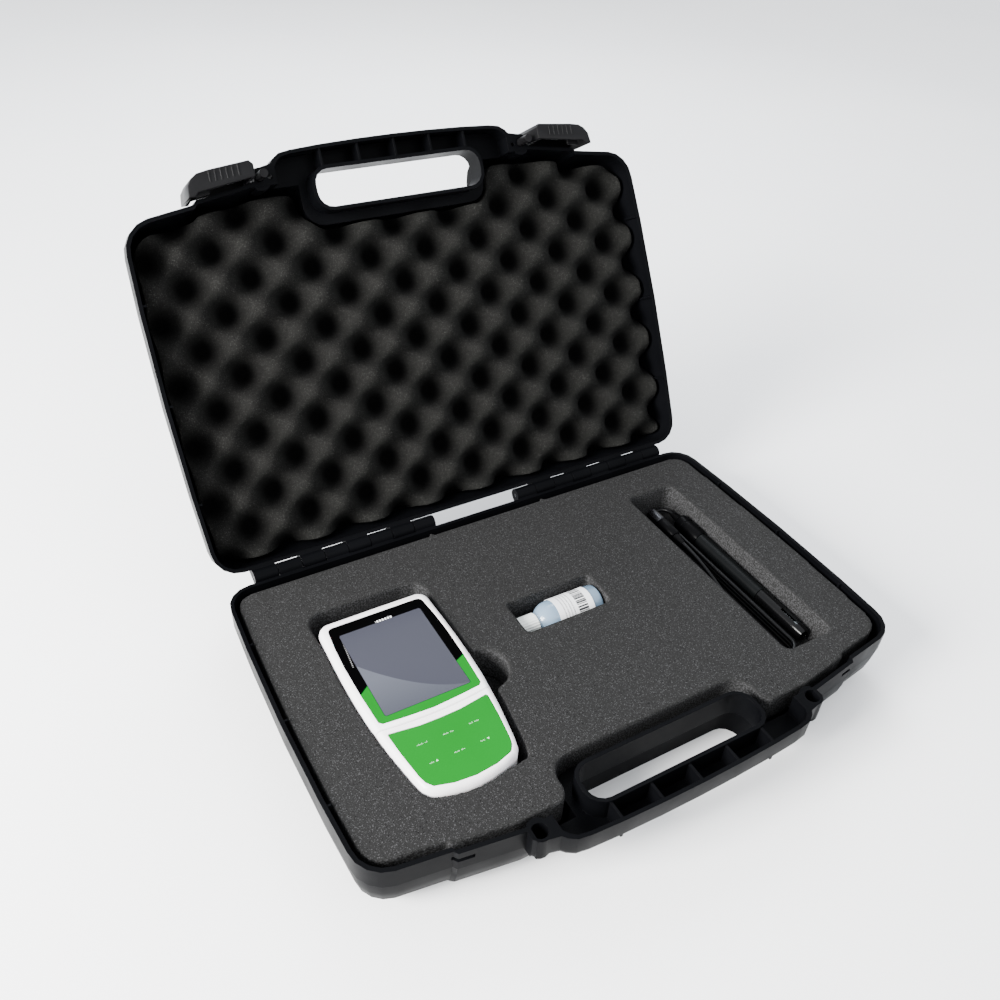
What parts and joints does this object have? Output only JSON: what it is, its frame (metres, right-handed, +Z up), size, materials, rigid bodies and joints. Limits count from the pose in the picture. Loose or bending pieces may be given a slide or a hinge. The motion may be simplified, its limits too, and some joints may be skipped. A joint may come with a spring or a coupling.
{
  "type": "portable water quality test kit",
  "caption": "Hinged carrying case with cut foam that holds a handheld water quality meter, a probe with its cable, and a bottle of calibration solution.",
  "frame": {"origin": "centre of the base's flat underside, which the kit stands on", "axes": "+X along the hinge towards the probe's slot, +Y from the handle towards the hinge, +Z up; the lid is open at rest"},
  "size_m": [0.438, 0.4734, 0.314],
  "materials": {
    "case_plastic": "fine-grained satin black",
    "base_foam": "dark grey closed-cell foam",
    "lid_foam": "near-black open-cell foam",
    "meter_white": "satin white",
    "panel_black": "gloss black film",
    "keypad_green": "satin green film",
    "window": "clear window",
    "display": "grey display, off",
    "board": "green circuit board",
    "battery_wrap": "wrapped steel cells",
    "steel": "plated steel",
    "bottle_plastic": "translucent blue-grey",
    "cap_white": "white",
    "label_paper": "white label with plain dark bars",
    "black_plastic": "satin black",
    "probe_grey": "satin dark grey",
    "guard_black": "gloss black",
    "sensor_glass": "glass bulb",
    "rubber": "matte black",
    "cable": "satin black jacket"
  },
  "bodies": {
    "case_base": {"base_shell": "case_plastic", "foam_meter_block": "base_foam", "foam_bottle_block": "base_foam", "foam_probe_block": "base_foam", "foam_floor": "base_foam", "foam_meter_pad": "base_foam", "foam_slot_pad": "base_foam", "hinge_pin_left": "steel", "hinge_pin_right": "steel"},
    "lid": {"lid_shell": "case_plastic", "lid_foam": "lid_foam", "latch_pin_left": "steel", "latch_pin_right": "steel"},
    "left_latch": {"latch_left": "case_plastic"},
    "right_latch": {"latch_right": "case_plastic"},
    "meter": {"meter_back_case": "meter_white", "meter_front_case": "meter_white", "case_seal": "rubber", "display_panel": "panel_black", "display_window": "window", "display_module": "display", "main_board": "board", "keypad_overlay": "keypad_green", "battery_1": "battery_wrap", "battery_2": "battery_wrap", "battery_3": "battery_wrap", "battery_contact_foot": "steel", "battery_contact_head": "steel", "probe_socket": "black_plastic", "case_screw_1": "steel", "case_screw_2": "steel", "case_screw_3": "steel", "case_screw_4": "steel"},
    "battery_door": {"battery_cover": "meter_white"},
    "key_1_cap": {"key_1": "keypad_green"},
    "key_2_cap": {"key_2": "keypad_green"},
    "key_3_cap": {"key_3": "keypad_green"},
    "key_4_cap": {"key_4": "keypad_green"},
    "key_5_cap": {"key_5": "keypad_green"},
    "key_6_cap": {"key_6": "keypad_green"},
    "bottle": {"bottle_body": "bottle_plastic", "bottle_dropper": "bottle_plastic", "bottle_label": "label_paper"},
    "bottle_closure": {"bottle_cap": "cap_white"},
    "probe": {"probe_barrel": "probe_grey", "probe_cap": "black_plastic", "probe_sensor": "sensor_glass", "cable_strain_relief": "rubber", "cable_from_probe": "cable", "cable_hank": "cable", "cable_to_plug": "cable", "connector_body": "black_plastic", "connector_boot": "rubber"},
    "sensor_guard": {"probe_guard": "guard_black"},
    "plug_ring": {"connector_ring": "steel"}
  },
  "joints": [
    {"name": "lid_hinge", "type": "hinge", "parent": "case_base", "child": "lid", "pos_m": [0, 0.139, 0.05], "axis": [-1, 0, 0], "range_deg": [-119.84, 0]},
    {"name": "left_latch_swing", "type": "hinge", "parent": "lid", "child": "left_latch", "pos_m": [-0.111, 0.28091, 0.29739], "axis": [0, 0.8674, -0.4976], "range_deg": [-1.2, 60]},
    {"name": "right_latch_swing", "type": "hinge", "parent": "lid", "child": "right_latch", "pos_m": [0.111, 0.28091, 0.29739], "axis": [0, -0.8674, 0.4976], "range_deg": [-1.2, 60]},
    {"name": "meter_lift", "type": "slide", "parent": "case_base", "child": "meter", "axis": [0, 0, 1], "range_m": [0, 0.12]},
    {"name": "battery_cover_slide", "type": "slide", "parent": "meter", "child": "battery_door", "axis": [0, -1, 0], "range_m": [0, 0.005]},
    {"name": "key_1_press", "type": "slide", "parent": "meter", "child": "key_1_cap", "axis": [0, 0, -1], "range_m": [0, 0.0004], "stiffness_N_per_m": 1000},
    {"name": "key_2_press", "type": "slide", "parent": "meter", "child": "key_2_cap", "axis": [0, 0, -1], "range_m": [0, 0.0004], "stiffness_N_per_m": 1000},
    {"name": "key_3_press", "type": "slide", "parent": "meter", "child": "key_3_cap", "axis": [0, 0, -1], "range_m": [0, 0.0004], "stiffness_N_per_m": 1000},
    {"name": "key_4_press", "type": "slide", "parent": "meter", "child": "key_4_cap", "axis": [0, 0, -1], "range_m": [0, 0.0004], "stiffness_N_per_m": 1000},
    {"name": "key_5_press", "type": "slide", "parent": "meter", "child": "key_5_cap", "axis": [0, 0, -1], "range_m": [0, 0.0004], "stiffness_N_per_m": 1000},
    {"name": "key_6_press", "type": "slide", "parent": "meter", "child": "key_6_cap", "axis": [0, 0, -1], "range_m": [0, 0.0004], "stiffness_N_per_m": 1000},
    {"name": "bottle_lift", "type": "slide", "parent": "case_base", "child": "bottle", "axis": [0, 0, 1], "range_m": [0, 0.08]},
    {"name": "bottle_cap_turn", "type": "hinge", "parent": "bottle", "child": "bottle_closure", "pos_m": [-0.0215, 0.0145, 0.032], "axis": [-1, 0, 0], "continuous": true},
    {"name": "probe_lift", "type": "slide", "parent": "case_base", "child": "probe", "axis": [0, 0, 1], "range_m": [0, 0.08]},
    {"name": "sensor_guard_turn", "type": "hinge", "parent": "probe", "child": "sensor_guard", "pos_m": [0.1662, -0.061, 0.0285], "axis": [0, -1, 0], "continuous": true},
    {"name": "plug_ring_turn", "type": "hinge", "parent": "probe", "child": "plug_ring", "pos_m": [0.1419, 0.071, 0.0374], "axis": [0, 1, 0], "continuous": true}
  ]
}
